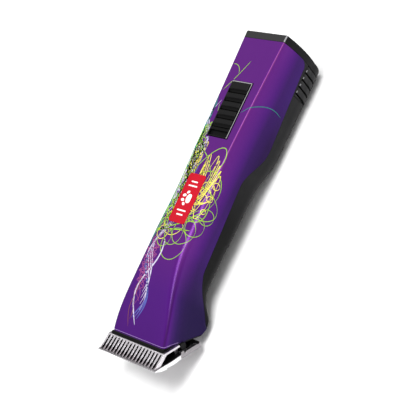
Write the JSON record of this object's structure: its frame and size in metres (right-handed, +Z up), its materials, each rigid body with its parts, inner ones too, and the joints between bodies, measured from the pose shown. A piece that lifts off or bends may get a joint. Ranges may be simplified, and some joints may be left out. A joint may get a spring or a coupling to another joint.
{
  "type": "electric pet clipper",
  "caption": "Cordless pet clipper with a waisted two-shell handle, slide switch, pull-out battery pack, and a hinged, removable comb and cutter driven by a rocking lever.",
  "frame": {"origin": "under the middle of the clipper, on the surface it lies on", "axes": "+Z up from the resting plane, out of the switch face; +Y along the handle from the blade to the battery cap; +X across the width"},
  "size_m": [0.0494, 0.1908, 0.0383],
  "materials": {
    "purple_shell": "smooth gloss, faint orange peel",
    "black_plastic": "finely textured moulded plastic",
    "red_badge": "gloss",
    "steel": "machined",
    "blade_steel": "ground and polished",
    "cast_alloy": "cast",
    "brass": "machined",
    "winding_copper": "lacquered winding",
    "magnet_grey": "ferrite",
    "board_green": "solder mask",
    "component_grey": "moulded",
    "lead_red": "insulation",
    "cell_wrap": "shrink wrap"
  },
  "bodies": {
    "root": {"top_shell": "purple_shell", "bottom_shell": "black_plastic", "head_frame": "black_plastic", "switch_bezel": "black_plastic", "badge": "red_badge", "housing_screws": "steel", "motor_can": "steel", "motor_end_cap": "black_plastic", "motor_magnets": "magnet_grey", "front_bush": "brass", "rear_bush": "brass", "motor_terminals": "brass", "motor_rails": "black_plastic", "drive_chassis": "cast_alloy", "lever_pivot_pin": "steel", "lever_clip": "steel", "circuit_board": "board_green", "board_components": "component_grey", "microswitch": "component_grey", "motor_leads": "lead_red", "contact_block": "black_plastic", "contact_leaves": "brass", "hinge_bracket": "steel", "hinge_screws": "steel", "hinge_pin": "steel"},
    "rotor": {"motor_shaft": "steel", "armature": "winding_copper", "commutator": "brass", "eccentric": "steel", "ring_bearing": "steel"},
    "lever": {"drive_lever": "cast_alloy", "lever_bush": "brass", "drive_tip": "black_plastic"},
    "slider": {"power_slider": "black_plastic", "slider_foot": "black_plastic"},
    "battery": {"battery_cap": "black_plastic", "battery_case": "black_plastic", "cell_left": "cell_wrap", "cell_right": "cell_wrap", "cell_links": "steel", "battery_pads": "brass"},
    "latch_left": {"latch_button_left": "black_plastic"},
    "latch_right": {"latch_button_right": "black_plastic"},
    "tongue": {"hinge_tongue": "steel"},
    "blade_set": {"comb_blade": "blade_steel", "blade_socket": "steel", "cutter_guide": "black_plastic", "tension_spring": "steel", "blade_screws": "steel"},
    "cutter": {"cutter_blade": "blade_steel"}
  },
  "joints": [
    {"name": "motor_spin", "type": "hinge", "parent": "root", "child": "rotor", "pos_m": [0, -0.0354, 0.022], "axis": [0, 1, 0], "continuous": true},
    {"name": "lever_swing", "type": "hinge", "parent": "root", "child": "lever", "pos_m": [0, -0.0594, 0.0225], "axis": [0, 0, 1], "range_deg": [-4, 4]},
    {"name": "power_slide", "type": "slide", "parent": "root", "child": "slider", "axis": [0, -1, 0], "range_m": [0, 0.0028]},
    {"name": "battery_slide", "type": "slide", "parent": "root", "child": "battery", "axis": [0, 1, 0], "range_m": [0, 0.06]},
    {"name": "latch_left_press", "type": "slide", "parent": "battery", "child": "latch_left", "axis": [1, 0, 0], "range_m": [0, 0.0012], "stiffness_N_per_m": 1500, "springref_m": -0.0005},
    {"name": "latch_right_press", "type": "slide", "parent": "battery", "child": "latch_right", "axis": [-1, 0, 0], "range_m": [0, 0.0012], "stiffness_N_per_m": 1500, "springref_m": -0.0005},
    {"name": "blade_hinge", "type": "hinge", "parent": "root", "child": "tongue", "pos_m": [0, -0.0669, 0.005], "axis": [1, 0, 0], "range_deg": [0, 100]},
    {"name": "blade_slide", "type": "slide", "parent": "tongue", "child": "blade_set", "axis": [0, -0.766, 0.6428], "range_m": [0, 0.022]},
    {"name": "cutter_slide", "type": "slide", "parent": "blade_set", "child": "cutter", "axis": [1, 0, 0], "range_m": [-0.0016, 0.0016]}
  ],
  "couplings": [
    {"joint": "cutter_slide", "follows": "lever_swing", "m_per_rad": 0.02245}
  ]
}
